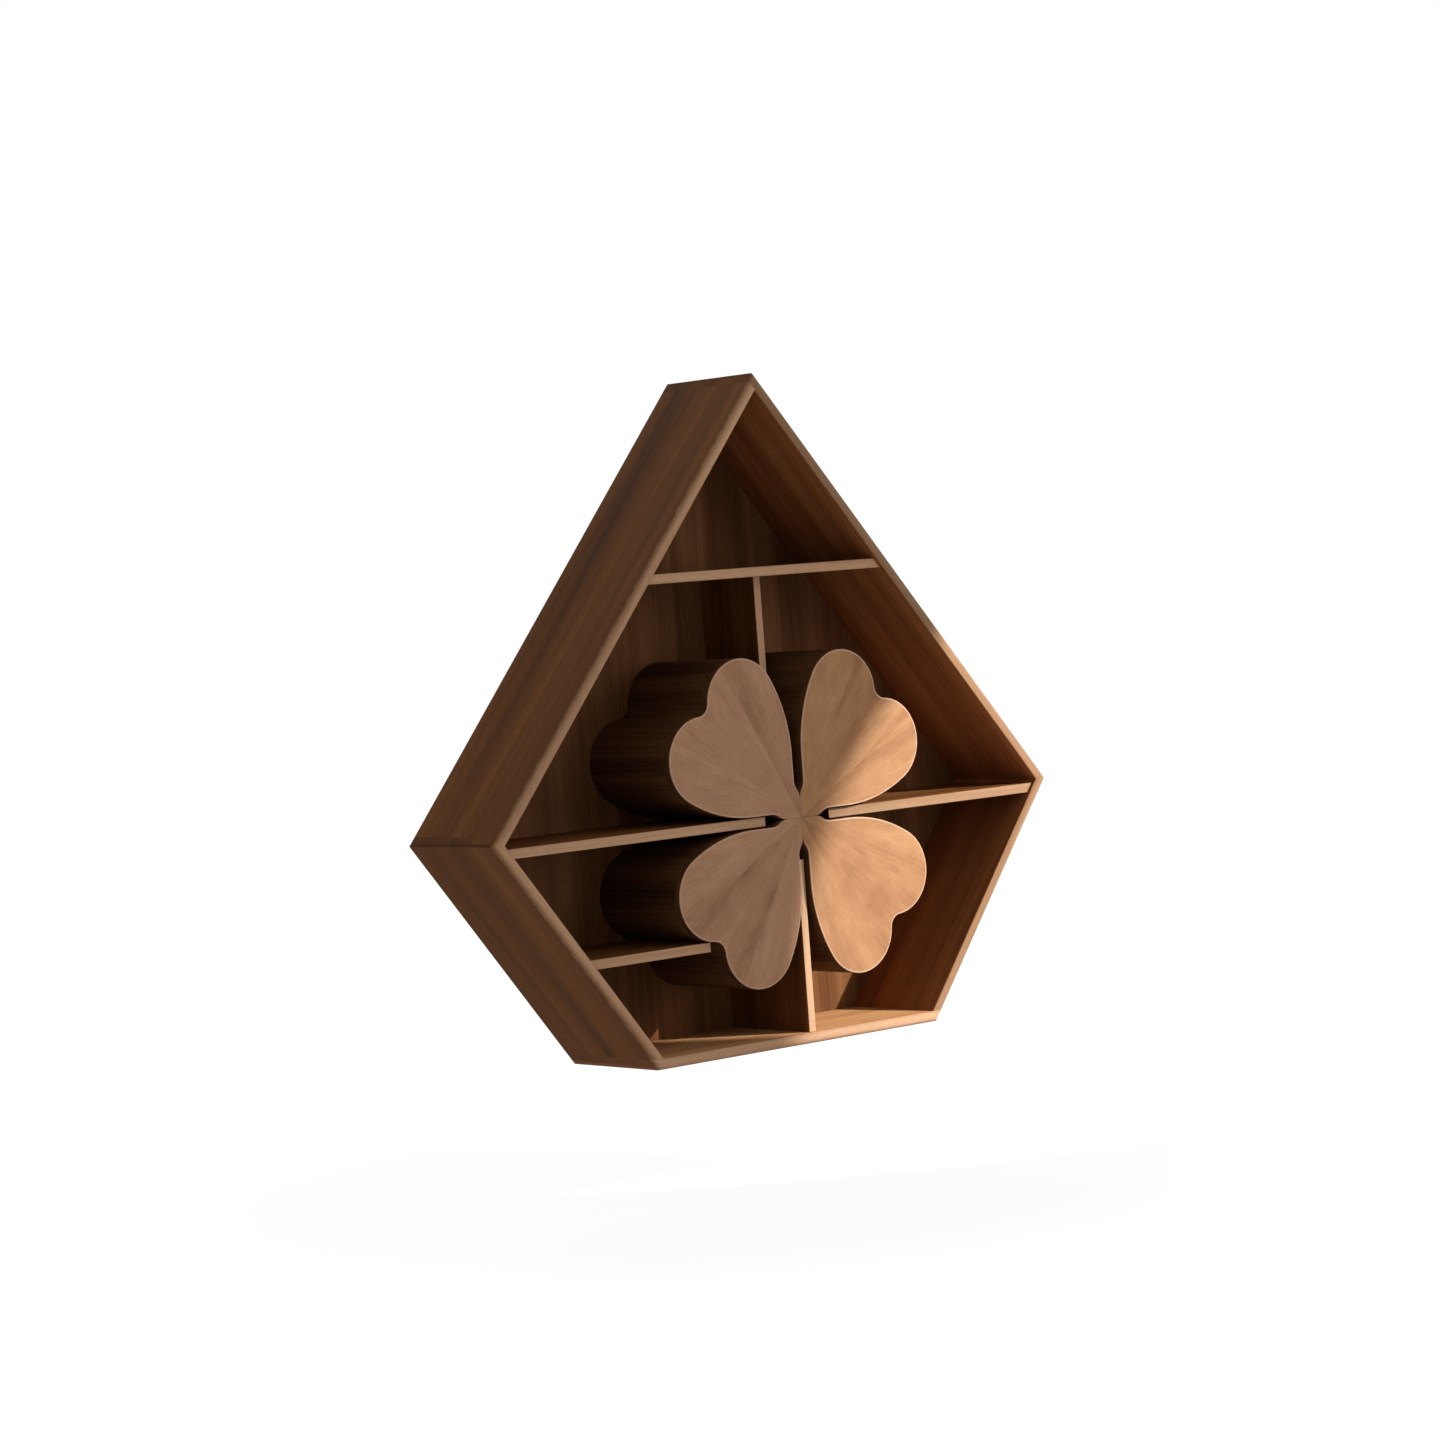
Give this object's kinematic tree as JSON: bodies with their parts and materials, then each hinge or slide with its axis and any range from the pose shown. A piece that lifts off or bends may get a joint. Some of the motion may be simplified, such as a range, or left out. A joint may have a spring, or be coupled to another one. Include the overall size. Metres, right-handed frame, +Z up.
{
  "type": "wall bookcase",
  "caption": "Kite shaped walnut wall bookcase with shelves, dividers and a clover of heart shaped leaves that are handleless drawers, hung on a bevelled cleat.",
  "frame": {"origin": "on the wall plane, at the middle of the wall cleat's row of bolt holes", "axes": "+X to the right as one faces the bookcase, +Y into the wall, +Z up"},
  "size_m": [1.64, 0.312, 1.514],
  "materials": {
    "case_walnut": "dark walnut veneer, long grain, satin lacquer",
    "panel_walnut": "dark walnut veneer, upright grain, satin lacquer",
    "shelf_walnut": "walnut veneer, satin lacquer",
    "leaf_walnut": "walnut veneer in wedges that meet at the clover's middle, satin lacquer",
    "shell_walnut": "bent plywood faced in walnut, satin lacquer",
    "cleat_plywood": "bare plywood",
    "box_birch": "birch plywood, clear lacquer",
    "beech": "bare beech",
    "rail_steel": "zinc plated sheet steel",
    "screw_steel": "yellow zinc plated"
  },
  "bodies": {
    "case": {"upper_left_board": "case_walnut", "upper_right_board": "case_walnut", "lower_left_board": "case_walnut", "lower_right_board": "case_walnut", "bottom_board": "case_walnut", "back_panel": "panel_walnut", "top_shelf": "shelf_walnut", "left_shelf": "shelf_walnut", "right_shelf": "shelf_walnut", "lower_left_shelf": "shelf_walnut", "upper_divider": "shelf_walnut", "lower_divider": "shelf_walnut", "case_cleat": "cleat_plywood", "wall_cleat": "cleat_plywood", "dowels": "beech", "panel_screws": "screw_steel", "rail_screws": "screw_steel", "upper_right_leaf_shell": "shell_walnut", "upper_right_leaf_web": "cleat_plywood", "upper_right_leaf_case_rails": "rail_steel", "lower_right_leaf_shell": "shell_walnut", "lower_right_leaf_web": "cleat_plywood", "lower_right_leaf_case_rails": "rail_steel", "lower_left_leaf_shell": "shell_walnut", "lower_left_leaf_web": "cleat_plywood", "lower_left_leaf_case_rails": "rail_steel", "upper_left_leaf_shell": "shell_walnut", "upper_left_leaf_web": "cleat_plywood", "upper_left_leaf_case_rails": "rail_steel"},
    "upper_right_drawer": {"upper_right_leaf_front": "leaf_walnut", "upper_right_leaf_box_left": "box_birch", "upper_right_leaf_box_right": "box_birch", "upper_right_leaf_box_front": "box_birch", "upper_right_leaf_box_back": "box_birch", "upper_right_leaf_box_bottom": "box_birch", "upper_right_leaf_drawer_rails": "rail_steel"},
    "lower_right_drawer": {"lower_right_leaf_front": "leaf_walnut", "lower_right_leaf_box_left": "box_birch", "lower_right_leaf_box_right": "box_birch", "lower_right_leaf_box_front": "box_birch", "lower_right_leaf_box_back": "box_birch", "lower_right_leaf_box_bottom": "box_birch", "lower_right_leaf_drawer_rails": "rail_steel"},
    "lower_left_drawer": {"lower_left_leaf_front": "leaf_walnut", "lower_left_leaf_box_left": "box_birch", "lower_left_leaf_box_right": "box_birch", "lower_left_leaf_box_front": "box_birch", "lower_left_leaf_box_back": "box_birch", "lower_left_leaf_box_bottom": "box_birch", "lower_left_leaf_drawer_rails": "rail_steel"},
    "upper_left_drawer": {"upper_left_leaf_front": "leaf_walnut", "upper_left_leaf_box_left": "box_birch", "upper_left_leaf_box_right": "box_birch", "upper_left_leaf_box_front": "box_birch", "upper_left_leaf_box_back": "box_birch", "upper_left_leaf_box_bottom": "box_birch", "upper_left_leaf_drawer_rails": "rail_steel"}
  },
  "joints": [
    {"name": "upper_right_drawer_slide", "type": "slide", "parent": "case", "child": "upper_right_drawer", "axis": [0, -1, 0], "range_m": [0, 0.19]},
    {"name": "lower_right_drawer_slide", "type": "slide", "parent": "case", "child": "lower_right_drawer", "axis": [0, -1, 0], "range_m": [0, 0.19]},
    {"name": "lower_left_drawer_slide", "type": "slide", "parent": "case", "child": "lower_left_drawer", "axis": [0, -1, 0], "range_m": [0, 0.19]},
    {"name": "upper_left_drawer_slide", "type": "slide", "parent": "case", "child": "upper_left_drawer", "axis": [0, -1, 0], "range_m": [0, 0.19]}
  ]
}
